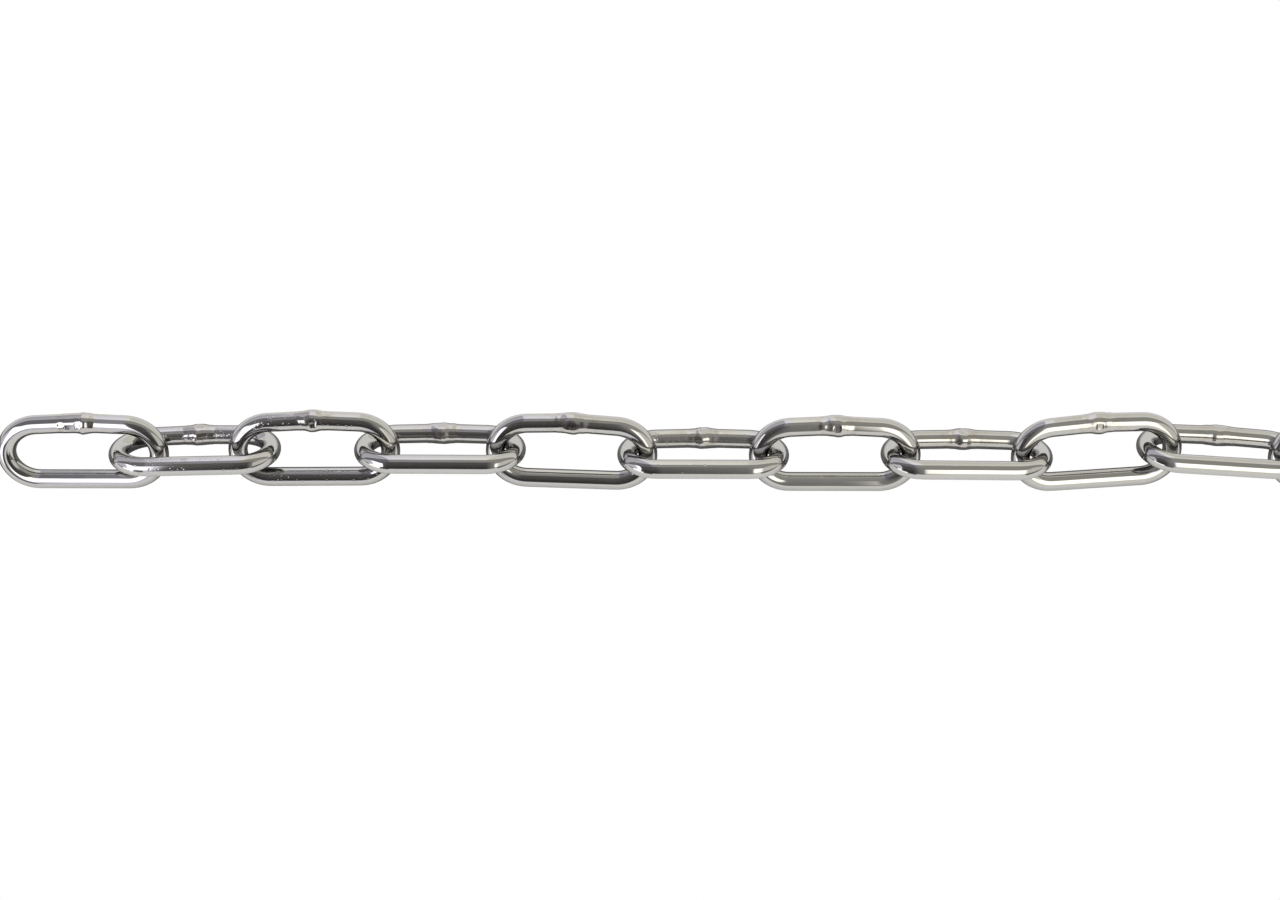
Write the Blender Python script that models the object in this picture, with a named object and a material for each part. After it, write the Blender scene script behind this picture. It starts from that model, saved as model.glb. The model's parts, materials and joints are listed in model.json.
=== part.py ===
"""One metre of straight long-link welded chain, lying on a level floor.

The chain lies along X, its links crossed almost at right angles and each
leaning on its lower bar. Odd links carry their weld on the raised bar, even links on the
bar that lies on the floor. Units are metres, +Z up.
"""

import math

import bmesh
import bpy
from mathutils import Matrix, Vector

MM = 0.001

# Driving dimensions of one link
WIRE_DIAMETER = 6.0 * MM
INSIDE_LENGTH = 42.0 * MM
INSIDE_WIDTH = 12.4 * MM
BEND_LENGTH = 10.0 * MM
WELD_BOW = 1.1 * MM
BEAD_SWELL = 0.4 * MM
BEAD_LENGTH = 7.0 * MM

# Driving dimensions of the chain
LINK_COUNT = 24
WELD_UP_LEAN = math.radians(45.5)
WELD_DOWN_LEAN = math.radians(40.0)
CROWN_GAP = 0.3 * MM
CROWN_SHIFT_ROOM = 0.2 * MM

# Play left in the crossings that aren't pulled tight, by the number of the link before it
CROSSING_PLAY = {1: 6.1 * MM, 2: 3.9 * MM, 3: 1.8 * MM, 8: 0.4 * MM, 9: 1.7 * MM}

# How far each crossing lies from the straight line, first end to last end
CROSSING_SWAY = [
    sway * MM
    for sway in (
        0.2, 0.1, 0.9, 1.1, 0.9, -0.6, -0.7, -0.8, -1.2, 1.6, -1.1, 0.4, 0.7,
        -0.2, -0.8, 0.3, 0.9, 0.2, -0.6, -0.3, 0.6, 0.1, -0.5, 0.2, 0.4,
    )
]

# Facets: the wire has flats, turned so that the plain bar of an odd link lies on one
WIRE_SIDES = 12
BEND_STEPS = 8
SECTION_TURN = WELD_UP_LEAN - math.radians(45.0)

# Sizes worked out from the driving dimensions
WIRE_RADIUS = WIRE_DIAMETER / 2
HALF_CENTRE_WIDTH = (INSIDE_WIDTH + WIRE_DIAMETER) / 2
HALF_CENTRE_LENGTH = (INSIDE_LENGTH + WIRE_DIAMETER) / 2
HALF_STRAIGHT = HALF_CENTRE_LENGTH - BEND_LENGTH
BOW_SLOPE = WELD_BOW / HALF_CENTRE_LENGTH
CORNER_OVER_WIRE = math.sqrt(
    math.pi / (WIRE_SIDES / 2 * math.sin(2 * math.pi / WIRE_SIDES))
)
CORNER_RADIUS = WIRE_RADIUS * CORNER_OVER_WIRE

STEEL_COLOUR = (0.60, 0.59, 0.57, 1.0)
STEEL_ROUGHNESS = 0.15


def bow_at(along):
    """How far the welded side stands out, at a distance along the link from its middle."""
    return WELD_BOW * (1 - abs(along) / HALF_CENTRE_LENGTH)


def end_bend(first_angle, last_angle, end_sign):
    """Stations of one end's wire, half an ellipse: place, direction and corner radius."""
    stations = []
    for step in range(BEND_STEPS + 1):
        angle = first_angle + (last_angle - first_angle) * step / BEND_STEPS
        along = end_sign * HALF_STRAIGHT + BEND_LENGTH * math.cos(angle)
        across = HALF_CENTRE_WIDTH * math.sin(angle)
        direction = Vector((-BEND_LENGTH * math.sin(angle), HALF_CENTRE_WIDTH * math.cos(angle)))
        if across > 0:
            across += bow_at(along)
            direction.y -= direction.x * BOW_SLOPE * end_sign
        stations.append((Vector((along, across)), direction.normalized(), CORNER_RADIUS))
    return stations


def weld_bead():
    """Stations across the weld, at the middle of the bowed side."""
    stations = []
    for share, swell in ((1, 0), (0.5, 0.8), (0, 1), (-0.5, 0.8), (-1, 0)):
        along = share * BEAD_LENGTH / 2
        side = (share > 0) - (share < 0)
        place = Vector((along, HALF_CENTRE_WIDTH + bow_at(along)))
        direction = Vector((-1, BOW_SLOPE * side)).normalized()
        stations.append((place, direction, CORNER_RADIUS + swell * BEAD_SWELL))
    return stations


def link_stations():
    """The closed centre line of one link, from the plain side round to the plain side."""
    quarter = math.pi / 2
    right_end = end_bend(-quarter, quarter, 1)
    left_end = end_bend(quarter, 3 * quarter, -1)
    return right_end + weld_bead() + left_end


def make_link_mesh():
    """One link in its own plane: X along it, +Y towards the welded side, Z across the plane."""
    shape = bmesh.new()
    rings = []
    for place, direction, corner_radius in link_stations():
        outward = Vector((direction.y, -direction.x, 0))
        ring = []
        for side in range(WIRE_SIDES):
            angle = 2 * math.pi * side / WIRE_SIDES + SECTION_TURN
            offset = outward * math.cos(angle) + Vector((0, 0, math.sin(angle)))
            centre = Vector((place.x, place.y, 0))
            ring.append(shape.verts.new(centre + corner_radius * offset))
        rings.append(ring)
    for ring, following in zip(rings, rings[1:] + rings[:1]):
        for side in range(WIRE_SIDES):
            beside = (side + 1) % WIRE_SIDES
            shape.faces.new((ring[side], ring[beside], following[beside], following[side]))
    bmesh.ops.recalc_face_normals(shape, faces=shape.faces[:])
    mesh = bpy.data.meshes.new("link")
    shape.to_mesh(mesh)
    shape.free()
    mesh.shade_smooth()
    mesh.set_sharp_from_angle(angle=math.radians(60))
    return mesh


def crossing_reach(number):
    """Half the distance between the two wires' centres where link number meets the next."""
    if number in (0, LINK_COUNT):
        return 0.0
    tight = 2 * CORNER_RADIUS + CROWN_GAP + CROWN_SHIFT_ROOM
    return (tight + CROSSING_PLAY.get(number, 0.0)) / 2


def crossing_points():
    """The crossings in plan, from the first link's free end to the last link's."""
    points = [Vector((0, CROSSING_SWAY[0]))]
    for number in range(1, LINK_COUNT + 1):
        room = crossing_reach(number - 1) + crossing_reach(number)
        length = 2 * HALF_CENTRE_LENGTH - room
        sideways = CROSSING_SWAY[number] - CROSSING_SWAY[number - 1]
        forward = math.sqrt(length**2 - sideways**2)
        points.append(points[-1] + Vector((forward, sideways)))
    return points


def carries_weld_high(number):
    """Odd links lie on their plain bar, even links on their welded one."""
    return number % 2 == 1


def leaning_turn(number, heading):
    """The turn that points a link along its heading and leans it on its lower bar."""
    lean = WELD_UP_LEAN if carries_weld_high(number) else -WELD_DOWN_LEAN
    turn = Matrix.Rotation(math.atan2(heading.y, heading.x), 4, "Z")
    return turn @ Matrix.Rotation(lean, 4, "X")


def link_placements(mesh):
    """The matrix that puts each link where it lies, in the order of the chain."""
    points = crossing_points()
    placements = []
    for number in range(1, LINK_COUNT + 1):
        start, end = points[number - 1], points[number]
        heading = (end - start).normalized()
        first_wire = start - heading * crossing_reach(number - 1)
        middle = first_wire + heading * HALF_CENTRE_LENGTH
        leaning = leaning_turn(number, heading)
        lowest = min((leaning @ vertex.co).z for vertex in mesh.vertices)
        placements.append(Matrix.Translation((middle.x, middle.y, -lowest)) @ leaning)
    return placements


def centre_in_plan(placements, mesh):
    """Move the chain so that its box's centre lies over the origin."""
    corners = [placement @ vertex.co for placement in placements for vertex in mesh.vertices]
    middle_x = (min(c.x for c in corners) + max(c.x for c in corners)) / 2
    middle_y = (min(c.y for c in corners) + max(c.y for c in corners)) / 2
    shift = Matrix.Translation((-middle_x, -middle_y, 0))
    return [shift @ placement for placement in placements]


def make_steel():
    """Polished stainless steel."""
    steel = bpy.data.materials.new("polished_stainless")
    steel.use_nodes = True
    shader = steel.node_tree.nodes["Principled BSDF"]
    shader.inputs["Base Color"].default_value = STEEL_COLOUR
    shader.inputs["Metallic"].default_value = 1.0
    shader.inputs["Roughness"].default_value = STEEL_ROUGHNESS
    return steel


def remove_scene_objects():
    """Start from an empty scene."""
    for thing in list(bpy.data.objects):
        bpy.data.objects.remove(thing, do_unlink=True)


def build_chain():
    """Make every link and lay it in its place."""
    remove_scene_objects()
    mesh = make_link_mesh()
    mesh.materials.append(make_steel())
    placements = centre_in_plan(link_placements(mesh), mesh)
    for number, placement in enumerate(placements, 1):
        link = bpy.data.objects.new(f"link_{number:02d}", mesh)
        link.matrix_world = placement
        bpy.context.collection.objects.link(link)


build_chain()
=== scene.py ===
"""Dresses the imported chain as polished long-link welded stainless chain.

Each link of the frame is hidden and a smooth one stands for it. A link starts as a
straight round wire with its weld at the middle, is bent round a closed path, and is
then laid exactly where the frame's link lies. Units are metres, +Z up.
"""

import json
import logging
import math
from dataclasses import dataclass, field
from enum import Enum
from typing import Callable, ClassVar

import bmesh
import bpy
import numpy as np
from mathutils import Matrix, Vector

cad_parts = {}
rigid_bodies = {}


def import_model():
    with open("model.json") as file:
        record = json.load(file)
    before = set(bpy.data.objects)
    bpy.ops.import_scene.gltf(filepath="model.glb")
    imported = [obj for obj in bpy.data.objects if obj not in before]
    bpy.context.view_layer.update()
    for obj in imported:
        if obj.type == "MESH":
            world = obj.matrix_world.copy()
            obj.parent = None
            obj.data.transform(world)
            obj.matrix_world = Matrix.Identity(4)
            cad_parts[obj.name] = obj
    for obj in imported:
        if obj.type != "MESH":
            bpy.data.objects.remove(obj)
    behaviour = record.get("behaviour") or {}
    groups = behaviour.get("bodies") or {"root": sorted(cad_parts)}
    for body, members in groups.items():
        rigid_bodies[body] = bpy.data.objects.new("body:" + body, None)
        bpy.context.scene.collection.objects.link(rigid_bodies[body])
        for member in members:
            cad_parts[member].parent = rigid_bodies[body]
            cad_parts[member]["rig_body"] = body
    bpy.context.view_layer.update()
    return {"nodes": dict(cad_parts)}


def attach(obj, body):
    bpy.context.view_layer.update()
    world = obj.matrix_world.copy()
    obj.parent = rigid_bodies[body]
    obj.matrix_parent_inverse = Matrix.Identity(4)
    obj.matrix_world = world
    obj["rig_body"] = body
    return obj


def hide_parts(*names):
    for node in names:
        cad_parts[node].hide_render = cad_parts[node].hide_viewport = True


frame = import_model()

MM = 0.001
WIRE_ATTRIBUTE = "wire_place"
SHIFT_ATTRIBUTE = "link_shift"
ONCE_MIRRORED = 1.5

log = logging.getLogger("chain")

Colour = tuple[float, float, float, float]
Scale = tuple[float, float, float]
Span = tuple[float, float]
Steps = tuple[tuple[float, float], ...]
NodeInput = bpy.types.NodeSocket | float | tuple
NodeSetting = bool | int | float | str | bpy.types.NodeTree


@dataclass(frozen=True)
class LinkSize:
    """One link's own sizes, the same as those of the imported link."""

    wire_radius: float = 3.0 * MM
    half_width: float = 9.2 * MM
    half_length: float = 24.0 * MM
    bend_length: float = 10.0 * MM
    weld_bow: float = 1.1 * MM

    @property
    def half_straight(self) -> float:
        """Half the length of the straight part of each side."""
        return self.half_length - self.bend_length

    @property
    def bow_slope(self) -> float:
        """How steeply the welded side rises towards its weld."""
        return self.weld_bow / self.half_length

    def bow_at(self, along: float) -> float:
        """How far the welded side stands out of a straight one.

        Args:
            along: distance along the link from its middle.

        Returns:
            The bow at that place.
        """
        return self.weld_bow * (1 - abs(along) / self.half_length)


@dataclass(frozen=True)
class Lump:
    """A small bump or dent on the weld, on both faces of the link; millimetres and degrees.

    The turn is round the wire, from the link's outer side at 0 to a face at 90 and its
    eye at 180.
    """

    along: float
    turn: float
    height: float
    reach: float = 1.6


@dataclass(frozen=True)
class WeldShape:
    """The shape that welding and trimming left on the wire, in millimetres.

    The stations give places along the wire from the link's middle and how far the
    wire is swollen there.
    """

    stations: Steps
    lumps: tuple[Lump, ...] = ()
    inner_bulge: float = 0.25
    bulge_place: float = 0.0
    trimmed_span: Span = (-1.0, 1.0)
    trimmed_height: float = 3.1
    unevenness: float = 0.03

    def swell_at(self, along: float) -> float:
        """How far the wire's radius is swollen at a place, in metres.

        Args:
            along: place along the wire, in metres from the weld.

        Returns:
            The swelling, smooth between the stations.
        """
        place = along / MM
        for (start, low), (end, high) in zip(self.stations, self.stations[1:]):
            if start <= place <= end:
                share = (place - start) / (end - start)
                smooth = share * share * (3 - 2 * share)
                return (low + (high - low) * smooth) * MM
        return 0.0


class WeldKind(Enum):
    """The welds of the chain differ a little, as those of the real one do."""

    FLAT_PATCH = WeldShape(
        stations=(
            (-6.6, 0.0), (-5.4, 0.1), (-3.0, 0.14), (-0.4, 0.2), (0.6, 0.42), (2.0, 0.28), (4.8, 0.0),
        ),
        lumps=(Lump(-5.9, 76, -0.2, 1.1), Lump(-0.2, 76, -0.22, 1.1), Lump(-3.0, 72, 0.06, 2.6)),
        trimmed_span=(-5.0, -1.0),
        trimmed_height=2.95,
        bulge_place=0.6,
    )
    PEAKED = WeldShape(
        stations=((-5.4, 0.0), (-3.6, 0.08), (-0.8, 0.44), (0.4, 0.44), (3.2, 0.1), (5.0, 0.0)),
        lumps=(Lump(-2.9, 62, 0.14), Lump(2.0, 58, 0.13), Lump(-0.5, 100, -0.1, 1.8)),
        bulge_place=-0.2,
    )
    TWO_LOBED = WeldShape(
        stations=((-6.0, 0.0), (-4.2, 0.08), (-1.0, 0.4), (0.7, 0.42), (3.0, 0.12), (5.4, 0.0)),
        lumps=(Lump(-4.3, 66, 0.15), Lump(1.7, 62, 0.14), Lump(-1.8, 80, -0.12, 2.0)),
        bulge_place=0.9,
    )
    THREE_LOBED = WeldShape(
        stations=((-5.2, 0.0), (-3.4, 0.1), (-0.8, 0.4), (0.6, 0.42), (3.4, 0.12), (5.2, 0.0)),
        lumps=(
            Lump(-2.5, 60, 0.13), Lump(0.9, 68, 0.1, 1.2), Lump(2.8, 58, 0.12), Lump(-0.6, 90, -0.08),
        ),
        bulge_place=0.3,
    )
    MOTTLED = WeldShape(
        stations=((-5.8, 0.0), (-4.2, 0.1), (-1.2, 0.36), (0.4, 0.43), (2.6, 0.2), (4.8, 0.0)),
        lumps=(Lump(-3.2, 70, 0.07), Lump(3.7, 64, 0.1, 1.3), Lump(-1.0, 84, -0.07, 2.2)),
        trimmed_span=(-4.0, 2.0),
        trimmed_height=3.15,
        unevenness=0.05,
    )
    RIDGED = WeldShape(
        stations=((-5.2, 0.0), (-3.2, 0.12), (-0.8, 0.42), (0.6, 0.36), (3.0, 0.16), (5.0, 0.0)),
        lumps=(
            Lump(1.2, 62, 0.14, 1.8), Lump(-1.4, 70, 0.08, 1.0), Lump(-0.2, 86, -0.06, 1.2),
            Lump(-2.8, 76, -0.06),
        ),
        bulge_place=-0.4,
        unevenness=0.04,
    )


class SteelFinish(Enum):
    """How the polish of a link has kept."""

    CLEAN = "clean"
    PITTED = "pitted"


@dataclass(frozen=True)
class LinkLook:
    """What makes one link differ from the next."""

    weld: WeldKind
    finish: SteelFinish = SteelFinish.CLEAN
    turned: bool = False


LOOKS: tuple[LinkLook, ...] = (
    LinkLook(WeldKind.FLAT_PATCH),
    LinkLook(WeldKind.RIDGED, SteelFinish.PITTED),
    LinkLook(WeldKind.PEAKED, SteelFinish.PITTED),
    LinkLook(WeldKind.MOTTLED),
    LinkLook(WeldKind.MOTTLED),
    LinkLook(WeldKind.RIDGED, SteelFinish.PITTED),
    LinkLook(WeldKind.TWO_LOBED),
    LinkLook(WeldKind.PEAKED, turned=True),
    LinkLook(WeldKind.THREE_LOBED),
    LinkLook(WeldKind.MOTTLED, turned=True),
    LinkLook(WeldKind.PEAKED),
    LinkLook(WeldKind.TWO_LOBED, SteelFinish.PITTED, turned=True),
)


def look_of(number: int) -> LinkLook:
    """The look of a link, by its number from 1; past the listed ones they repeat."""
    return LOOKS[(number - 1) % len(LOOKS)]


def deselect_all() -> None:
    """Leave nothing selected, in object mode."""
    if bpy.context.object and bpy.context.object.mode != "OBJECT":
        bpy.ops.object.mode_set(mode="OBJECT")
    bpy.ops.object.select_all(action="DESELECT")


def make_active(thing: bpy.types.Object) -> None:
    """Select one object alone and make it the active one.

    Args:
        thing: the object.
    """
    deselect_all()
    thing.select_set(True)
    bpy.context.view_layer.objects.active = thing


def select_vertices(thing: bpy.types.Object, wanted: Callable[[Vector], bool]) -> int:
    """Select the vertices of the mesh in edit mode that lie where wanted.

    Args:
        thing: the object in edit mode.
        wanted: says of a place whether its vertex is selected.

    Returns:
        How many are selected.
    """
    bpy.ops.mesh.select_all(action="DESELECT")
    mesh = bmesh.from_edit_mesh(thing.data)
    for vertex in mesh.verts:
        vertex.select = wanted(vertex.co)
    mesh.select_flush(True)
    bmesh.update_edit_mesh(thing.data)
    return sum(vertex.select for vertex in mesh.verts)


def apply_modifier(thing: bpy.types.Object, name: str) -> None:
    """Apply one modifier of an object by its name."""
    make_active(thing)
    bpy.ops.object.modifier_apply(modifier=name)


class LinkPath:
    """The closed line that a link's wire is bent round, in the link's own plane."""

    ROUND = 0.5523
    PEAK_HANDLE = 2.0 * MM

    def __init__(self, size: LinkSize) -> None:
        """Keep the link's sizes."""
        self.size = size

    def points(self) -> list[tuple[Vector, Vector, Vector]]:
        """The line's points, anticlockwise, the plain side's middle last.

        The wire is laid along them from the last one back to the first, so that at the
        weld it runs along +X and its +Y side lies outside.

        Returns:
            Each point's place and the steps from it to its handles, the one behind first.
        """
        size = self.size
        straight, side = size.half_straight, size.half_width
        raised = side + size.bow_at(straight)
        peak = side + size.bow_at(self.PEAK_HANDLE / 2)
        bend = size.bend_length * self.ROUND
        rise = Vector((0, side * self.ROUND))
        third = Vector((straight / 3, 0))
        flat_bend = Vector((bend, 0))
        falling = Vector((bend, -bend * size.bow_slope))
        mirrored = Vector((bend, bend * size.bow_slope))
        share = straight / 3 / bend
        soft = Vector((self.PEAK_HANDLE, 0))
        return [
            (Vector((straight, -side)), -third, flat_bend),
            (Vector((size.half_length, 0)), -rise, rise),
            (Vector((straight, raised)), falling, -share * falling),
            (Vector((0, peak)), soft, -soft),
            (Vector((-straight, raised)), share * mirrored, -mirrored),
            (Vector((-size.half_length, 0)), rise, -rise),
            (Vector((-straight, -side)), -flat_bend, third),
            (Vector((0, -side)), -third, third),
        ]

    def draw(self) -> bpy.types.Object:
        """Draw the line as a closed curve of eight points.

        Returns:
            The curve's object.
        """
        deselect_all()
        bpy.ops.curve.primitive_bezier_circle_add(radius=self.size.half_width, enter_editmode=True)
        bpy.ops.curve.subdivide()
        bpy.ops.object.mode_set(mode="OBJECT")
        line = bpy.context.object
        line.name = "link_path"
        line.data.dimensions = "2D"
        line.data.resolution_u = 48
        line.data.use_stretch = True
        line.data.use_deform_bounds = True
        for point, (place, behind, ahead) in zip(line.data.splines[0].bezier_points, self.points()):
            point.handle_left_type = point.handle_right_type = "FREE"
            point.co = place.to_3d()
            point.handle_left = (place + behind).to_3d()
            point.handle_right = (place + ahead).to_3d()
        return line


class StraightWire:
    """One link's wire before bending: a round tube along X with the weld at its middle.

    Its +Y side becomes the link's outer side and its +Z side one of the link's faces.
    """

    SIDES = 48
    WELD_REACH = 7.2 * MM
    WELD_CUTS = 47
    PLAIN_CUTS = 53
    SEAM = 0.02 * MM
    BULGE_SPAN = 0.4 * MM
    BULGE_DEPTH_SHARE = 0.93
    BULGE_REACH = 2.2 * MM
    LUMP_STAND = 0.3 * MM
    LUMP_SPAN = 0.42 * MM
    UNEVEN_MARGIN = 1.5 * MM
    UNEVEN_SLOPE = 2.2
    UNEVEN_SCALE = 1.8 * MM

    def __init__(self, size: LinkSize, shape: WeldShape, length: float) -> None:
        """Keep what the wire is made from.

        Args:
            size: the link's sizes.
            shape: the shape of its weld.
            length: the wire's whole length.
        """
        self.size = size
        self.shape = shape
        self.length = length

    def draw(self) -> bpy.types.Object:
        """Model the wire with its weld.

        Returns:
            The wire's object.
        """
        wire = self._draw_tube()
        self._swell_weld(wire)
        self._bulge_inside(wire)
        self._trim_faces(wire)
        for lump in self.shape.lumps:
            self._raise_lump(wire, lump)
        bpy.ops.object.mode_set(mode="OBJECT")
        self._roughen_weld(wire)
        self._note_places(wire)
        return wire

    def _draw_tube(self) -> bpy.types.Object:
        """Extrude a ring into three spans and cut each lengthwise into rings.

        Returns:
            The wire's object, in edit mode.
        """
        deselect_all()
        bpy.ops.mesh.primitive_circle_add(
            vertices=self.SIDES,
            radius=self.size.wire_radius,
            location=(-self.length / 2, 0, 0),
            rotation=(0, math.pi / 2, 0),
        )
        wire = bpy.context.object
        bpy.ops.object.transform_apply(location=True, rotation=True, scale=True)
        bpy.ops.object.mode_set(mode="EDIT")
        bpy.ops.mesh.select_all(action="SELECT")
        plain = self.length / 2 - self.WELD_REACH
        for span in (plain, 2 * self.WELD_REACH, plain):
            bpy.ops.mesh.extrude_region_move(TRANSFORM_OT_translate={"value": (span, 0, 0)})
        for low, high, cuts in (
            (-self.length / 2, -self.WELD_REACH, self.PLAIN_CUTS),
            (-self.WELD_REACH, self.WELD_REACH, self.WELD_CUTS),
            (self.WELD_REACH, self.length / 2, self.PLAIN_CUTS),
        ):
            self._select_long_edges(wire, low, high)
            bpy.ops.mesh.subdivide(number_cuts=cuts)
        return wire

    def _select_long_edges(self, wire: bpy.types.Object, low: float, high: float) -> None:
        """Select the edges that run along the wire from one place to another.

        Args:
            wire: the wire's object, in edit mode.
            low: where the edges start.
            high: where they end.
        """
        bpy.ops.mesh.select_mode(type="EDGE")
        bpy.ops.mesh.select_all(action="DESELECT")
        mesh = bmesh.from_edit_mesh(wire.data)
        for edge in mesh.edges:
            ends = sorted(vertex.co.x for vertex in edge.verts)
            edge.select = abs(ends[0] - low) < self.SEAM and abs(ends[1] - high) < self.SEAM
        bmesh.update_edit_mesh(wire.data)

    def _ring_places(self, wire: bpy.types.Object) -> list[float]:
        """Where the rings near the weld lie along the wire.

        Args:
            wire: the wire's object, in edit mode.

        Returns:
            Each ring's place, from the lowest.
        """
        mesh = bmesh.from_edit_mesh(wire.data)
        places = {round(v.co.x, 6) for v in mesh.verts if abs(v.co.x) <= self.WELD_REACH}
        return sorted(places)

    def _swell_weld(self, wire: bpy.types.Object) -> None:
        """Scale each ring near the weld by the swelling there.

        Args:
            wire: the wire's object, in edit mode.
        """
        bpy.ops.mesh.select_mode(type="VERT")
        for place in self._ring_places(wire):
            swell = self.shape.swell_at(place)
            if swell == 0:
                continue
            scale = 1 + swell / self.size.wire_radius
            select_vertices(wire, lambda co: abs(co.x - place) < self.SEAM)
            bpy.ops.transform.resize(value=(1, scale, scale), center_override=(place, 0, 0))

    def _bulge_inside(self, wire: bpy.types.Object) -> None:
        """Pull the side that faces the link's eye out a little further.

        Args:
            wire: the wire's object, in edit mode.
        """
        middle = self.shape.bulge_place * MM
        depth = -self.BULGE_DEPTH_SHARE * self.size.wire_radius
        select_vertices(wire, lambda co: abs(co.x - middle) < self.BULGE_SPAN and co.y < depth)
        bpy.ops.transform.translate(
            value=(0, -self.shape.inner_bulge * MM, 0),
            use_proportional_edit=True,
            proportional_edit_falloff="SMOOTH",
            proportional_size=self.BULGE_REACH,
        )

    def _trim_faces(self, wire: bpy.types.Object) -> None:
        """Flatten the weld where the burr was sheared off both faces.

        Args:
            wire: the wire's object, in edit mode.
        """
        low, high = (place * MM for place in self.shape.trimmed_span)
        height = self.shape.trimmed_height * MM
        for side in (1, -1):
            found = select_vertices(wire, lambda co: low < co.x < high and side * co.z > height)
            if found:
                bpy.ops.transform.resize(value=(1, 1, 0), center_override=(0, 0, side * height))

    def _raise_lump(self, wire: bpy.types.Object, lump: Lump) -> None:
        """Pull a small round bump out of the weld on each face, or press a dent in.

        Args:
            wire: the wire's object, in edit mode.
            lump: the bump, or the dent where its height is below 0.
        """
        radius = self.size.wire_radius + self.LUMP_STAND
        turn = math.radians(lump.turn)
        for side in (1, -1):
            out = Vector((0, math.cos(turn), side * math.sin(turn)))
            middle = Vector((lump.along * MM, 0, 0)) + out * radius
            if not select_vertices(wire, lambda co: (co - middle).length < self.LUMP_SPAN):
                log.info("no vertex lies at the lump %s", lump)
                continue
            bpy.ops.transform.translate(
                value=out * (lump.height * MM),
                use_proportional_edit=True,
                proportional_edit_falloff="SMOOTH",
                proportional_size=lump.reach * MM,
            )

    def _roughen_weld(self, wire: bpy.types.Object) -> None:
        """Displace the weld's surface a little, less towards its ends.

        Args:
            wire: the wire's object, in object mode.
        """
        group = wire.vertex_groups.new(name="weld")
        reach = self.WELD_REACH - self.UNEVEN_MARGIN
        for vertex in wire.data.vertices:
            share = 1 - abs(vertex.co.x) / reach
            if share > 0:
                group.add([vertex.index], min(1.0, self.UNEVEN_SLOPE * share), "REPLACE")
        grain = bpy.data.textures.new("weld_unevenness", "CLOUDS")
        grain.noise_scale = self.UNEVEN_SCALE
        grain.noise_depth = 1
        displace = wire.modifiers.new("unevenness", "DISPLACE")
        displace.texture = grain
        displace.texture_coords = "LOCAL"
        displace.vertex_group = group.name
        displace.strength = self.shape.unevenness * MM
        displace.mid_level = 0.5
        apply_modifier(wire, displace.name)
        wire.vertex_groups.clear()

    def _note_places(self, wire: bpy.types.Object) -> None:
        """Keep each face corner's place on the straight wire, for the finish to follow.

        The wire's two ends meet later, and a face corner there keeps its own end's place.

        Args:
            wire: the wire's object, in object mode.
        """
        mesh = wire.data
        places = np.empty(len(mesh.vertices) * 3, np.float32)
        mesh.vertices.foreach_get("co", places)
        corners = np.empty(len(mesh.loops), np.int32)
        mesh.loops.foreach_get("vertex_index", corners)
        kept = mesh.attributes.new(WIRE_ATTRIBUTE, "FLOAT_VECTOR", "CORNER")
        kept.data.foreach_set("vector", places.reshape(-1, 3)[corners].ravel())


class LinkModel:
    """A finished link in its own plane: X along it, +Y towards the weld, Z through its eye."""

    def __init__(self, size: LinkSize, kind: WeldKind) -> None:
        """Keep the link's sizes and the kind of its weld."""
        self.size = size
        self.kind = kind

    def draw(self, path: bpy.types.Object) -> bpy.types.Object:
        """Bend a straight wire round the path and close it.

        Args:
            path: the closed curve to bend it round.

        Returns:
            The link's object.
        """
        length = path.data.splines[0].calc_length()
        link = StraightWire(self.size, self.kind.value, length).draw()
        link.name = f"model_{self.kind.name.lower()}"
        bend = link.modifiers.new("bend", "CURVE")
        bend.object = path
        bend.deform_axis = "POS_X"
        apply_modifier(link, bend.name)
        bpy.ops.object.mode_set(mode="EDIT")
        bpy.ops.mesh.select_all(action="SELECT")
        bpy.ops.mesh.remove_doubles(threshold=StraightWire.SEAM)
        bpy.ops.mesh.normals_make_consistent(inside=False)
        bpy.ops.object.mode_set(mode="OBJECT")
        bpy.ops.object.shade_smooth()
        return link


@dataclass(frozen=True)
class LinkPlace:
    """Where one of the frame's links lies, read from its mesh."""

    MERGE_DIGITS: ClassVar[int] = 7
    TIP_SPAN: ClassVar[float] = 0.01 * MM

    node: str
    centre: Vector
    along: Vector
    weldward: Vector

    @classmethod
    def of_node(cls, node: str, part: bpy.types.Object) -> "LinkPlace":
        """Find a link's middle and its own directions.

        Args:
            node: the CAD node's name.
            part: the CAD node's object.

        Returns:
            The link's place.
        """
        corners = np.array([vertex.co for vertex in part.data.vertices], float)
        corners = np.unique(corners.round(cls.MERGE_DIGITS), axis=0)
        mean = corners.mean(0)
        directions = np.linalg.eigh(np.cov((corners - mean).T))[1]
        along, across = Vector(directions[:, 2]), Vector(directions[:, 1])
        along = along if along.x > 0 else -along
        across = across if across.y > 0 else -across
        lengthwise = corners @ np.array(along)
        crosswise = corners @ np.array(across)
        middle = (lengthwise.min() + lengthwise.max()) / 2
        tips = crosswise[lengthwise > lengthwise.max() - cls.TIP_SPAN]
        through = along.cross(across)
        depth = (corners @ np.array(through)).mean()
        centre = along * middle + across * float(tips.mean()) + through * float(depth)
        return cls(node, centre, along, across)

    def matrix(self, turned: bool) -> Matrix:
        """The matrix that lays a link's model here.

        Args:
            turned: whether the link lies with its other face up.

        Returns:
            The matrix from the link's own plane to the frame.
        """
        along = -self.along if turned else self.along
        through = along.cross(self.weldward)
        turn = Matrix((along, self.weldward, through)).transposed()
        return Matrix.Translation(self.centre) @ turn.to_4x4()


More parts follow.
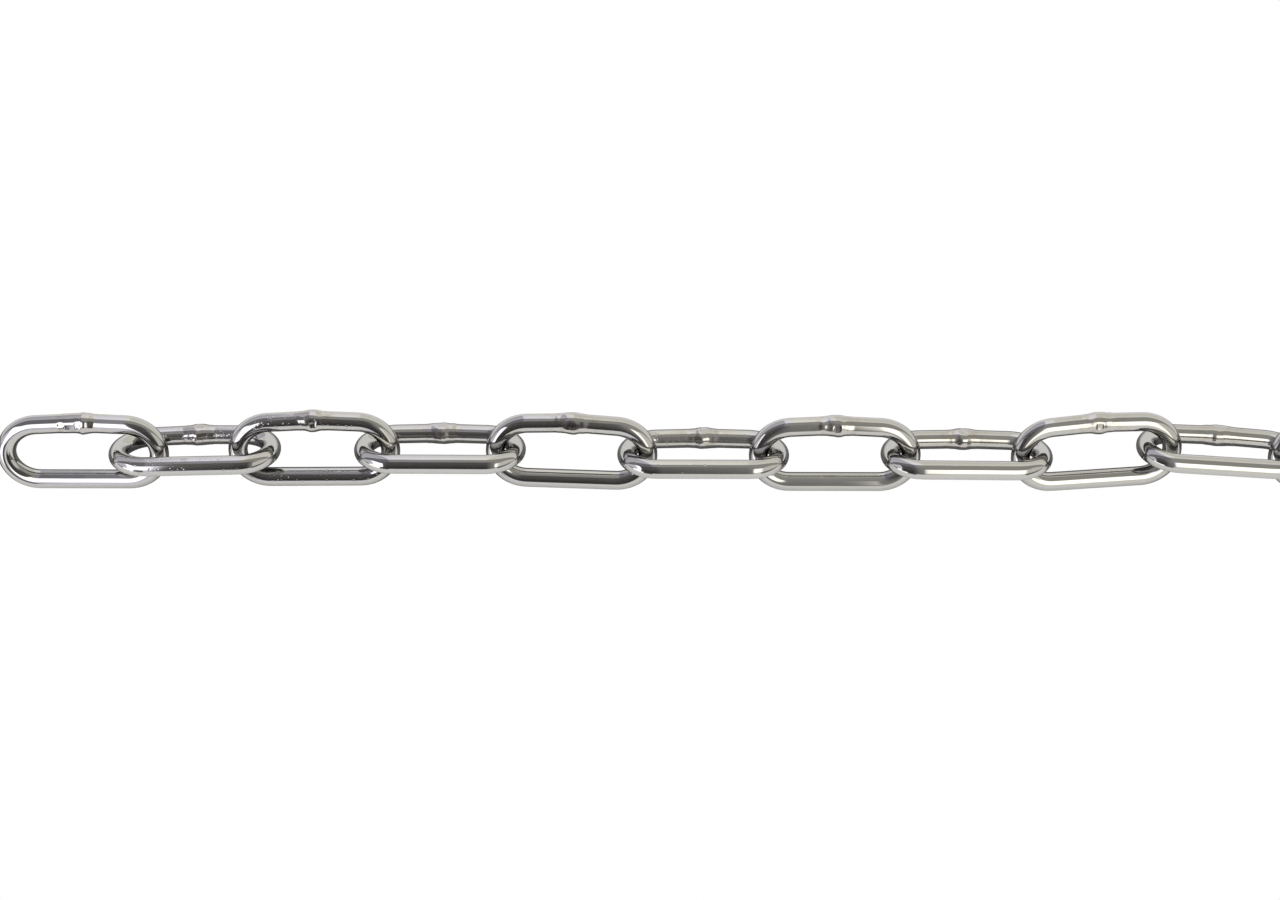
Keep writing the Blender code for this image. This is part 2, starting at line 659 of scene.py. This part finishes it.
class Bench:
    """Adds and joins the nodes of one node tree."""

    def __init__(self, tree: bpy.types.NodeTree) -> None:
        """Keep the tree and clear it."""
        self.tree = tree
        tree.nodes.clear()

    def add(
        self, kind: str, inputs: dict[str | int, NodeInput] | None = None, **settings: NodeSetting
    ) -> bpy.types.Node:
        """Add a node, with its settings and what goes into its sockets.

        Args:
            kind: the node's type.
            inputs: a value or another node's output for each named socket.
            **settings: properties of the node.

        Returns:
            The node.
        """
        node = self.tree.nodes.new(kind)
        for name, value in settings.items():
            setattr(node, name, value)
        for name, value in (inputs or {}).items():
            self.feed(node.inputs[name], value)
        return node

    def feed(self, socket: bpy.types.NodeSocket, value: NodeInput) -> None:
        """Join another node's output to a socket, or set the socket's own value.

        Args:
            socket: the socket to feed.
            value: the output or the value.
        """
        if isinstance(value, bpy.types.NodeSocket):
            self.tree.links.new(value, socket)
        else:
            socket.default_value = value

    def maths(self, operation: str, *values: NodeInput) -> bpy.types.NodeSocket:
        """The result of one operation on one to three values."""
        return self.add("ShaderNodeMath", dict(enumerate(values)), operation=operation).outputs[0]

    def fade(self, value: NodeInput, start: float, end: float) -> bpy.types.NodeSocket:
        """A mask that goes smoothly from 0 where the value is start to 1 where it is end."""
        inputs = {"Value": value, "From Min": start, "From Max": end}
        return self.add("ShaderNodeMapRange", inputs, interpolation_type="SMOOTHSTEP").outputs[0]

    def blend(self, share: NodeInput, first: NodeInput, second: NodeInput) -> bpy.types.NodeSocket:
        """A colour between two, by a share from 0 to 1."""
        return self.add("ShaderNodeMix", {0: share, 6: first, 7: second}, data_type="RGBA").outputs[2]

    def between(self, share: NodeInput, first: NodeInput, second: NodeInput) -> bpy.types.NodeSocket:
        """A number between two, by a share from 0 to 1."""
        return self.add("ShaderNodeMix", {0: share, 2: first, 3: second}, data_type="FLOAT").outputs[0]

    def scaled(self, colour: NodeInput, share: NodeInput) -> bpy.types.NodeSocket:
        """A colour times a number.

        Args:
            colour: the colour.
            share: the number.

        Returns:
            The colour that results.
        """
        product = self.add("ShaderNodeVectorMath", {0: colour}, operation="SCALE")
        self.feed(product.inputs["Scale"], share)
        return product.outputs[0]

    def noise(self, place: NodeInput, scale: Scale, detail: float) -> bpy.types.NodeSocket:
        """Noise over a place, with its own scale in each direction.

        Args:
            place: the place.
            scale: how many waves to a metre in each direction.
            detail: how many finer layers it has.

        Returns:
            The noise, from 0 to 1.
        """
        placed = self.add("ShaderNodeMapping", {"Vector": place, "Scale": scale}, vector_type="POINT")
        inputs = {"Vector": placed.outputs[0], "Scale": 1.0, "Detail": detail}
        return self.add("ShaderNodeTexNoise", inputs).outputs[0]


class EffectGroup:
    """A shader node group with named inputs and outputs."""

    def __init__(self, name: str, inputs: dict[str, str], outputs: dict[str, str]) -> None:
        """Make the empty group.

        Args:
            name: the group's name.
            inputs: the type of each input by its name.
            outputs: the type of each output by its name.
        """
        self.tree = bpy.data.node_groups.new(name, "ShaderNodeTree")
        self.bench = Bench(self.tree)
        for title, kind in inputs.items():
            self.tree.interface.new_socket(name=title, in_out="INPUT", socket_type=kind)
        for title, kind in outputs.items():
            self.tree.interface.new_socket(name=title, in_out="OUTPUT", socket_type=kind)
        self.given = self.bench.add("NodeGroupInput").outputs
        self.result = self.bench.add("NodeGroupOutput").inputs


NUMBER, VECTOR = "NodeSocketFloat", "NodeSocketVector"


@dataclass(frozen=True)
class WireGrain:
    """Fine polishing lines along the wire and the slight waves that bending left."""

    line_scale: Scale = (60, 2600, 2600)
    line_detail: float = 2.0
    wave_scale: Scale = (48, 150, 150)
    wave_detail: float = 1.0

    def make(self) -> bpy.types.NodeTree:
        """Build the effect.

        Returns:
            The node group.
        """
        effect = EffectGroup(
            "wire_grain",
            {"Wire": VECTOR, "Keep": NUMBER, "Line Depth": NUMBER, "Wave Depth": NUMBER},
            {"Height": NUMBER, "Lines": NUMBER},
        )
        bench, given = effect.bench, effect.given
        lines = bench.noise(given["Wire"], self.line_scale, self.line_detail)
        waves = bench.noise(given["Wire"], self.wave_scale, self.wave_detail)
        kept_lines = bench.maths("MULTIPLY", bench.maths("SUBTRACT", lines, 0.5), given["Keep"])
        kept_waves = bench.maths("MULTIPLY", bench.maths("SUBTRACT", waves, 0.5), given["Keep"])
        line_height = bench.maths("MULTIPLY", kept_lines, given["Line Depth"])
        height = bench.maths("MULTIPLY_ADD", kept_waves, given["Wave Depth"], line_height)
        bench.feed(effect.result["Height"], height)
        bench.feed(effect.result["Lines"], kept_lines)
        return effect.tree


@dataclass(frozen=True)
class Pitting:
    """Small pits and nicks, in patches."""

    pit_scale: Scale = (700, 1300, 1300)
    pit_edge: Span = (0.34, 0.12)
    patch_scale: Scale = (110, 300, 300)
    patch_detail: float = 2.0
    bare_level: float = 0.72
    coverage_share: float = 0.3
    patch_slope: float = 8.0

    def make(self) -> bpy.types.NodeTree:
        """Build the effect.

        Returns:
            The node group.
        """
        effect = EffectGroup(
            "pitting",
            {"Wire": VECTOR, "Coverage": NUMBER, "Depth": NUMBER},
            {"Height": NUMBER, "Pits": NUMBER},
        )
        bench, given = effect.bench, effect.given
        spread = bench.add("ShaderNodeMapping", {"Vector": given["Wire"], "Scale": self.pit_scale})
        cells = bench.add("ShaderNodeTexVoronoi", {"Vector": spread.outputs[0], "Scale": 1.0})
        spots = bench.fade(cells.outputs["Distance"], *self.pit_edge)
        patches = bench.noise(given["Wire"], self.patch_scale, self.patch_detail)
        covered = bench.maths("MULTIPLY", given["Coverage"], self.coverage_share)
        bare = bench.maths("SUBTRACT", self.bare_level, covered)
        there = bench.maths("GREATER_THAN", patches, bare)
        soft = bench.maths("SUBTRACT", patches, bare)
        share = bench.maths("MINIMUM", bench.maths("MULTIPLY", soft, self.patch_slope), 1.0)
        pits = bench.maths("MULTIPLY", bench.maths("MULTIPLY", spots, there), share)
        bench.feed(effect.result["Pits"], pits)
        deep = bench.maths("MULTIPLY", pits, given["Depth"])
        bench.feed(effect.result["Height"], bench.maths("MULTIPLY", deep, -1.0))
        return effect.tree


@dataclass(frozen=True)
class WeldHeat:
    """The dull patch on the weld and the faint tint that its heat left beside it."""

    cloud_scale: Scale = (500, 700, 700)
    cloud_detail: float = 3.0
    mottling: Span = (0.42, 0.66)
    weld_edge: Span = (5.4 * MM, 2.6 * MM)
    tint_edge: Span = (11.0 * MM, 5.0 * MM)
    rough_scale: Scale = (1400, 1700, 1700)
    rough_detail: float = 2.0

    def make(self) -> bpy.types.NodeTree:
        """Build the effect.

        Returns:
            The node group.
        """
        effect = EffectGroup(
            "weld_heat",
            {"Wire": VECTOR, "From Weld": NUMBER, "Unevenness": NUMBER},
            {"Tint": NUMBER, "Dull": NUMBER, "Height": NUMBER},
        )
        bench, given = effect.bench, effect.given
        cloudy = bench.noise(given["Wire"], self.cloud_scale, self.cloud_detail)
        weld = bench.fade(given["From Weld"], *self.weld_edge)
        beside = bench.fade(given["From Weld"], *self.tint_edge)
        mottled = bench.fade(cloudy, *self.mottling)
        bench.feed(effect.result["Tint"], bench.maths("MULTIPLY", beside, mottled))
        bench.feed(effect.result["Dull"], bench.maths("MULTIPLY", weld, mottled))
        rough = bench.noise(given["Wire"], self.rough_scale, self.rough_detail)
        uneven = bench.maths("MULTIPLY", bench.maths("MULTIPLY", rough, weld), given["Unevenness"])
        bench.feed(effect.result["Height"], uneven)
        return effect.tree


@dataclass(frozen=True)
class PolishedSteel:
    """Polished stainless steel as it looks on one sort of link."""

    name: str
    colour: Colour = (0.605, 0.597, 0.580, 1.0)
    straw: Colour = (0.47, 0.385, 0.30, 1.0)
    tint_share: float = 0.4
    roughness: float = 0.06
    line_roughness: float = 0.05
    weld_roughness: float = 0.12
    pit_roughness: float = 0.12
    joined_span: float = 3.0 * MM
    line_depth: float = 3e-6
    wave_depth: float = 9e-5
    weld_depth: float = 6e-6
    pit_coverage: float = 0.25
    pit_depth: float = 1.2e-5

    def make(self, groups: dict[str, bpy.types.NodeTree], half_wire: float) -> bpy.types.Material:
        """Build the material.

        Args:
            groups: the shared effects by name.
            half_wire: half the length of a link's wire.

        Returns:
            The material.
        """
        steel = bpy.data.materials.new(self.name)
        steel.use_nodes = True
        bench = Bench(steel.node_tree)
        wire = bench.add("ShaderNodeAttribute", attribute_name=WIRE_ATTRIBUTE).outputs["Vector"]
        shift = bench.add("ShaderNodeAttribute", attribute_name=SHIFT_ATTRIBUTE).outputs["Fac"]
        apart = bench.add("ShaderNodeCombineXYZ", {"X": shift}).outputs[0]
        placed = bench.add("ShaderNodeVectorMath", {0: wire, 1: apart}, operation="ADD").outputs[0]
        along = bench.add("ShaderNodeSeparateXYZ", {0: wire}).outputs["X"]
        from_weld = bench.maths("ABSOLUTE", along)
        keep = bench.fade(from_weld, half_wire, half_wire - self.joined_span)

        grain = self._place(bench, groups["wire_grain"], {
            "Wire": placed, "Keep": keep, "Line Depth": self.line_depth, "Wave Depth": self.wave_depth,
        })
        pitting = self._place(bench, groups["pitting"], {
            "Wire": placed, "Coverage": self.pit_coverage, "Depth": self.pit_depth,
        })
        heat = self._place(bench, groups["weld_heat"], {
            "Wire": placed, "From Weld": from_weld, "Unevenness": self.weld_depth,
        })

        colour = bench.blend(
            bench.maths("MULTIPLY", heat["Tint"], self.tint_share), self.colour, self.straw
        )
        rough = bench.maths("MULTIPLY_ADD", grain["Lines"], self.line_roughness, self.roughness)
        rough = bench.maths("MULTIPLY_ADD", heat["Dull"], self.weld_roughness, rough)
        rough = bench.maths("MULTIPLY_ADD", pitting["Pits"], self.pit_roughness, rough)
        height = bench.maths("ADD", grain["Height"], pitting["Height"])
        height = bench.maths("ADD", height, heat["Height"])
        bump = bench.add("ShaderNodeBump", {"Height": height, "Strength": 1.0, "Distance": 1.0})
        shader = bench.add("ShaderNodeBsdfPrincipled", {
            "Base Color": colour, "Metallic": 1.0, "Roughness": rough, "Normal": bump.outputs[0],
        })
        bench.add("ShaderNodeOutputMaterial", {"Surface": shader.outputs[0]})
        return steel

    @staticmethod
    def _place(
        bench: Bench, group: bpy.types.NodeTree, inputs: dict[str | int, NodeInput]
    ) -> bpy.types.bpy_prop_collection:
        """Place a shared effect in a material.

        Args:
            bench: the material's nodes.
            group: the effect.
            inputs: what goes into its inputs, by name.

        Returns:
            Its outputs.
        """
        node = bench.add("ShaderNodeGroup", node_tree=group)
        for name, value in inputs.items():
            bench.feed(node.inputs[name], value)
        return node.outputs


@dataclass
class Chain:
    """The run of links, each in the place of one CAD node."""

    size: LinkSize = field(default_factory=LinkSize)
    shift_step: float = 0.173
    pitted: PolishedSteel = PolishedSteel("pitted_stainless", pit_coverage=1.0, pit_depth=3.0e-5)
    clean: PolishedSteel = PolishedSteel("bright_stainless")

    def build(
        self, nodes: dict[str, bpy.types.Object], bodies: dict[str, str]
    ) -> list[bpy.types.Object]:
        """Model each kind of link once and lay a copy over each CAD node.

        Args:
            nodes: the CAD nodes by name.
            bodies: the body that each node rides on.

        Returns:
            The links, in the order of the chain.
        """
        path = LinkPath(self.size).draw()
        half_wire = path.data.splines[0].calc_length() / 2
        steels = self._make_steels(half_wire)
        models = {kind: LinkModel(self.size, kind).draw(path) for kind in WeldKind}
        links = []
        for number, name in enumerate(sorted(nodes), 1):
            look = look_of(number)
            place = LinkPlace.of_node(name, nodes[name])
            link = self._lay(models[look.weld], place, look, number)
            link.data.materials.append(steels[look.finish])
            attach(link, bodies[name])
            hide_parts(name)
            log.info("%s stands for %s, weld %s", link.name, name, look.weld.name)
            links.append(link)
        for model in [*models.values(), path]:
            bpy.data.objects.remove(model, do_unlink=True)
        return links

    def _make_steels(self, half_wire: float) -> dict[SteelFinish, bpy.types.Material]:
        """Build the shared effects and the finishes that use them.

        Args:
            half_wire: half the length of a link's wire.

        Returns:
            The material of each finish.
        """
        groups = {
            "wire_grain": WireGrain().make(),
            "pitting": Pitting().make(),
            "weld_heat": WeldHeat().make(),
        }
        return {
            SteelFinish.CLEAN: self.clean.make(groups, half_wire),
            SteelFinish.PITTED: self.pitted.make(groups, half_wire),
        }

    def _lay(
        self, model: bpy.types.Object, place: LinkPlace, look: LinkLook, number: int
    ) -> bpy.types.Object:
        """Copy a model and put the copy's mesh where the CAD link lies.

        Args:
            model: the model of this link's kind.
            place: where the CAD link lies.
            look: what makes this link differ.
            number: the link's number in the chain.

        Returns:
            The link's object.
        """
        make_active(model)
        bpy.ops.object.duplicate()
        link = bpy.context.object
        link.name = f"chain_link_{number:02d}"
        link.data.name = link.name
        link.matrix_world = place.matrix(look.turned)
        bpy.ops.object.transform_apply(location=True, rotation=True, scale=True)
        shift = link.data.attributes.new(SHIFT_ATTRIBUTE, "FLOAT", "POINT")
        values = np.full(len(link.data.vertices), number * self.shift_step, np.float32)
        shift.data.foreach_set("value", values)
        return link


@dataclass(frozen=True)
class DarkOpening:
    """A dark stretch of surroundings that the steel mirrors.

    It is a slice of a cone close round the chain's line, wider to the right, seen only
    where the steel mirrors it. Angles are in degrees round the chain, from the near
    horizon at 0 to the zenith at 90. Its place and levels were set by comparing renders
    with the photograph. What really stood there is not known.
    """

    left: float = -0.48
    right: float = -0.155
    left_radius: float = 0.20
    right_radius: float = 0.34
    middle_height: float = 0.010
    bottom: float = 13.0
    top: float = 93.0
    sides: int = 144
    left_blur: float = 0.004
    right_blur: float = 0.05
    bottom_blur: float = 4.0
    top_blur: float = 2.0
    low_level: float = 0.035
    high_level: float = 0.11
    left_level: float = 0.06
    left_fade: float = 0.05
    right_level: float = 0.21
    right_fade: Span = (0.18, 0.05)
    colour: Colour = (1.0, 0.975, 0.95, 1.0)
    far_limit: float = 0.05
    low_limit: float = 0.03

    def build(self) -> bpy.types.Object:
        """Shape the cone and give it its dark face.

        Returns:
            The cone's object.
        """
        deselect_all()
        bpy.ops.mesh.primitive_cone_add(
            vertices=self.sides,
            radius1=self.left_radius,
            radius2=self.right_radius,
            depth=self.right - self.left,
            end_fill_type="NOTHING",
            location=((self.left + self.right) / 2, 0, self.middle_height),
            rotation=(0, math.pi / 2, 0),
        )
        cone = bpy.context.object
        cone.name = "dark_opening"
        bpy.ops.object.transform_apply(location=True, rotation=True, scale=True)
        bpy.ops.object.mode_set(mode="EDIT")
        select_vertices(cone, lambda co: co.y > self.far_limit or co.z < self.low_limit)
        bpy.ops.mesh.delete(type="VERT")
        bpy.ops.object.mode_set(mode="OBJECT")
        for ray in ("camera", "diffuse", "transmission", "volume_scatter", "shadow"):
            setattr(cone, f"visible_{ray}", False)
        cone.data.materials.append(self._make_face())
        return cone

    def _make_face(self) -> bpy.types.Material:
        """A nearly black face that fades out towards its edges.

        Returns:
            The material.
        """
        face = bpy.data.materials.new("dark_opening")
        face.use_nodes = True
        bench = Bench(face.node_tree)
        parts = bench.add(
            "ShaderNodeSeparateXYZ", {0: bench.add("ShaderNodeTexCoord").outputs["Object"]}
        ).outputs
        near = bench.maths("MULTIPLY", parts["Y"], -1.0)
        height = bench.maths("SUBTRACT", parts["Z"], self.middle_height)
        turn = bench.maths("DEGREES", bench.maths("ARCTAN2", height, near))
        place = parts["X"]

        level = bench.between(bench.fade(turn, self.bottom, self.top), self.low_level, self.high_level)
        at_left = bench.fade(place, self.left + self.left_fade, self.left)
        start, end = self.right_fade
        at_right = bench.fade(place, self.right - start, self.right - end)
        level = bench.maths("ADD", level, bench.maths("MULTIPLY", at_left, self.left_level))
        level = bench.maths("ADD", level, bench.maths("MULTIPLY", at_right, self.right_level))
        glow = bench.add("ShaderNodeEmission", {"Color": self.colour, "Strength": level})
        lengthwise = bench.maths(
            "MULTIPLY",
            bench.fade(place, self.left, self.left + 2 * self.left_blur),
            bench.fade(place, self.right, self.right - self.right_blur),
        )
        round_chain = bench.maths(
            "MULTIPLY",
            bench.fade(turn, self.bottom - self.bottom_blur, self.bottom + self.bottom_blur),
            bench.fade(turn, self.top + self.top_blur, self.top - self.top_blur),
        )
        cover = bench.maths("MULTIPLY", lengthwise, round_chain)
        clear = bench.add("ShaderNodeBsdfTransparent")
        mixed = bench.add("ShaderNodeMixShader", {0: cover, 1: clear.outputs[0], 2: glow.outputs[0]})
        bench.add("ShaderNodeOutputMaterial", {"Surface": mixed.outputs[0]})
        return face


def twice_mirrored(bench: Bench, path: bpy.types.bpy_prop_collection) -> bpy.types.NodeSocket:
    """1 for a ray that the steel has mirrored at least twice, otherwise 0."""
    return bench.maths("GREATER_THAN", path["Glossy Depth"], ONCE_MIRRORED)


@dataclass(frozen=True)
class MirroredRoom:
    """What the polished steel mirrors beside the floor, as levels of light by direction.

    Turns are in degrees round the chain, from the near horizon at 0 over the zenith at
    90 to the far horizon at 180. Sideways places are the X of the unit direction. The
    places and levels were set by comparing renders with the photograph. They stand for
    surroundings that it doesn't show.
    """

    cool: Colour = (0.98, 0.97, 1.075, 1.0)
    warm: Colour = (1.0, 0.985, 0.90, 1.0)
    tint_change: Span = (-0.16, 0.03)
    near_wall: float = 0.88
    horizon_blur: float = 0.02
    step_blur: float = 0.02

    low_front: Steps = ((-1.0, 0.2), (-0.90, 2.0), (-0.57, 0.12), (-0.24, 0.88), (0.5, 0.2))
    window: float = 2.0
    window_ends: float = 0.75
    window_right_end: Span = (0.48, 0.64)
    window_left_end: Span = (-0.78, -0.86)
    window_bottom: float = 26.0
    window_top: float = 73.0
    window_blur: float = 2.0
    window_rise: float = 22.0
    rise_span: Span = (0.5, 0.84)

    ceiling: float = 0.36
    left_ceiling: float = 0.2
    ceiling_change: Span = (-0.24, -0.17)

    far_wall: float = 1.15
    far_horizon: float = 0.98
    far_wall_start: float = 126.0
    far_wall_blur: float = 3.0
    far_fall: Span = (128.0, 175.0)
    far_left_share: float = 0.55
    far_left_change: Span = (-0.215, -0.18)
    far_right_share: float = 0.78
    far_right_change: Span = (0.03, 0.07)
    far_sides: Steps = ((-1.0, 0.4), (-0.84, 2.2), (-0.46, 0.2), (-0.12, 1.0), (0.18, 3.0), (0.66, 0.5))

    def colour(self, bench: Bench, path: bpy.types.bpy_prop_collection) -> bpy.types.NodeSocket:
        """The room's colour by direction.

        Args:
            bench: the world's nodes.
            path: what is known of the ray.

        Returns:
            The colour seen in each direction.
        """
        direction = bench.add("ShaderNodeTexCoord").outputs["Generated"]
        parts = bench.add("ShaderNodeSeparateXYZ", {0: direction}).outputs
        sideways, height = parts["X"], parts["Z"]
        near = bench.maths("MULTIPLY", parts["Y"], -1.0)
        turn = bench.maths("DEGREES", bench.maths("ARCTAN2", height, near))

        upper = self._upper(bench, path, sideways, turn)
        start, blur = self.window_bottom, self.window_blur
        pane = bench.fade(turn, start - blur, start + blur)
        below = self._steps(bench, sideways, self.low_front)
        front = bench.between(pane, below, self._pane(bench, sideways))
        rise = bench.fade(bench.maths("ABSOLUTE", sideways), *self.rise_span)
        top = bench.maths("ADD", bench.maths("MULTIPLY", rise, self.window_rise), self.window_top)
        below_top = bench.fade(bench.maths("SUBTRACT", turn, top), blur, -blur)
        level = bench.between(below_top, upper, front)
        beneath = bench.fade(height, self.horizon_blur, -self.horizon_blur)
        level = bench.between(beneath, level, self.near_wall)

        tint = bench.blend(bench.fade(sideways, *self.tint_change), self.cool, self.warm)
        return bench.scaled(tint, level)

    def _pane(self, bench: Bench, sideways: NodeInput) -> bpy.types.NodeSocket:
        """The window's level, less bright at its two ends."""
        right_end = bench.fade(sideways, *self.window_right_end)
        left_end = bench.fade(sideways, *self.window_left_end)
        return bench.between(bench.maths("ADD", right_end, left_end), self.window, self.window_ends)

    def _upper(
        self, bench: Bench, path: bpy.types.bpy_prop_collection, sideways: NodeInput, turn: NodeInput
    ) -> bpy.types.NodeSocket:
        """The level of the ceiling and of the far wall behind it.

        Args:
            bench: the world's nodes.
            path: what is known of the ray.
            sideways: the direction's X.
            turn: its turn round the chain.

        Returns:
            The level.
        """
        wall = bench.between(bench.fade(turn, *self.far_fall), self.far_wall, self.far_horizon)
        at_left = bench.fade(sideways, *self.far_left_change)
        at_right = bench.fade(sideways, *self.far_right_change)
        left_share = bench.between(at_left, self.far_left_share, 1.0)
        right_share = bench.between(at_right, 1.0, self.far_right_share)
        wall = bench.maths("MULTIPLY", wall, bench.maths("MULTIPLY", left_share, right_share))
        sides = self._steps(bench, sideways, self.far_sides)
        wall = bench.maths("MULTIPLY", wall, bench.between(twice_mirrored(bench, path), 1.0, sides))
        above = bench.between(
            bench.fade(sideways, *self.ceiling_change), self.left_ceiling, self.ceiling
        )
        start, blur = self.far_wall_start, self.far_wall_blur
        return bench.between(bench.fade(turn, start - blur, start + blur), above, wall)

    def _steps(self, bench: Bench, sideways: NodeInput, steps: Steps) -> bpy.types.NodeSocket:
        """Levels that follow each other from left to right, each from its own start.

        Args:
            bench: the world's nodes.
            sideways: the direction's X.
            steps: where each level starts, and the level.

        Returns:
            The level.
        """
        level: NodeInput = steps[0][1]
        for start, brightness in steps[1:]:
            passed = bench.fade(sideways, start - self.step_blur, start + self.step_blur)
            level = bench.between(passed, level, brightness)
        return level


@dataclass(frozen=True)
class Studio:
    """A plain pale floor in soft, even light, with a room for the polished steel to mirror.

    The floor that the steel mirrors is darker than the one that the light falls on and carries a
    painted shadow in a strip along the chain.
    Mirror images of mirror images are dimmed by a fixed share, a painted shade where the links cross.
    These were set by comparing renders with the photograph.
    """

    floor_size: float = 9.0
    floor_drop: float = 0.06 * MM
    floor_colour: Colour = (0.93, 0.93, 0.93, 1.0)
    mirrored_floor: Colour = (0.325, 0.322, 0.318, 1.0)
    # Painted shadow: in reflections the floor turns to mirrored_shade in a strip along the chain, from
    # shade_near to shade_far across it.
    mirrored_shade: Colour = (0.085, 0.085, 0.085, 1.0)
    shade_near: Span = (-11.0 * MM, -8.0 * MM)
    shade_far: Span = (34.0 * MM, 12.0 * MM)
    later_share: float = 0.55
    soft_light: float = 2.8
    backdrop: Colour = (1.0, 1.0, 1.0, 1.0)
    room: MirroredRoom = MirroredRoom()

    def build(self) -> None:
        """Lay the floor, set the world and hang the dark opening."""
        self._lay_floor()
        self._light_world()
        DarkOpening().build()
        view = bpy.context.scene.view_settings
        view.view_transform = "Standard"
        view.look = "None"

    def _lay_floor(self) -> None:
        """A wide matt floor just under the chain, less bright where the steel mirrors it, with a
        painted shadow in a strip along the chain that only the steel's reflections show.

        The camera looks through it to the backdrop, so that it also sees the links that
        hang below it when the joints swing.
        """
        deselect_all()
        bpy.ops.mesh.primitive_plane_add(size=self.floor_size, location=(0, 0, -self.floor_drop))
        floor = bpy.context.object
        floor.name = "floor"
        matt = bpy.data.materials.new("pale_floor")
        matt.use_nodes = True
        bench = Bench(matt.node_tree)
        path = bench.add("ShaderNodeLightPath").outputs
        place = bench.add("ShaderNodeTexCoord").outputs["Object"]
        across = bench.add("ShaderNodeSeparateXYZ", {0: place}).outputs["Y"]
        # Painted shadow of the chain on the floor: a dark strip from just in front of the chain to a
        # few centimetres behind it, seen only in the steel's reflections.
        near = bench.fade(across, *self.shade_near)
        far = bench.fade(across, *self.shade_far)
        shade = bench.maths("MULTIPLY", near, far)
        mirrored = bench.blend(shade, self.mirrored_floor, self.mirrored_shade)
        mirrored = self._dim_later(bench, path, mirrored)
        colour = bench.blend(path["Is Glossy Ray"], self.floor_colour, mirrored)
        paint = bench.add("ShaderNodeBsdfDiffuse", {"Color": colour})
        bench.add("ShaderNodeOutputMaterial", {"Surface": paint.outputs[0]})
        floor.data.materials.append(matt)
        floor.visible_camera = False

    def _light_world(self) -> None:
        """Even white light, a mirrored room for the steel and a white backdrop."""
        world = bpy.data.worlds.new("studio")
        world.use_nodes = True
        bpy.context.scene.world = world
        bench = Bench(world.node_tree)
        path = bench.add("ShaderNodeLightPath").outputs
        mirrored = self._dim_later(bench, path, self.room.colour(bench, path))
        even = (self.soft_light, self.soft_light, self.soft_light, 1.0)
        shining = bench.blend(path["Is Glossy Ray"], even, mirrored)
        seen = bench.blend(path["Is Camera Ray"], shining, self.backdrop)
        back = bench.add("ShaderNodeBackground", {"Color": seen, "Strength": 1.0})
        bench.add("ShaderNodeOutputWorld", {"Surface": back.outputs[0]})

    def _dim_later(
        self, bench: Bench, path: bpy.types.bpy_prop_collection, colour: NodeInput
    ) -> bpy.types.NodeSocket:
        """Dim a colour in mirror images of mirror images, by a given share."""
        # Painted shade: mirror images of mirror images are dimmed so that the steel looks dark where
        # the links cross.
        return bench.scaled(colour, bench.between(twice_mirrored(bench, path), 1.0, self.later_share))


@dataclass(frozen=True)
class PhotoCamera:
    """The camera that takes the photograph's view."""

    target: tuple[float, float, float] = (-0.2934, 0.00028, 0.010)
    elevation: float = 70.2
    distance: float = 0.8
    focal_pixels: float = 2545.0
    frame_width: int = 1280
    sensor: float = 36.0
    clip: Span = (0.02, 60.0)

    def build(self) -> None:
        """Make the camera and hand it to the scene."""
        lens = bpy.data.cameras.new("photo_camera")
        lens.sensor_width = self.sensor
        lens.lens = self.focal_pixels / self.frame_width * self.sensor
        lens.clip_start, lens.clip_end = self.clip
        camera = bpy.data.objects.new("photo_camera", lens)
        bpy.context.scene.collection.objects.link(camera)
        tilt = math.radians(self.elevation)
        back = Vector((0, -math.cos(tilt), math.sin(tilt)))
        camera.location = Vector(self.target) + back * self.distance
        camera.rotation_euler = (math.pi / 2 - tilt, 0, 0)
        bpy.context.scene.camera = camera


def main() -> None:
    """Build the links, the studio and the camera."""
    logging.basicConfig(level=logging.INFO, format="%(message)s")
    bodies = {name: part["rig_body"] for name, part in frame["nodes"].items()}
    PhotoCamera().build()
    links = Chain().build(frame["nodes"], bodies)
    log.info("%d links dressed", len(links))
    Studio().build()


if __name__ == "__main__":
    main()
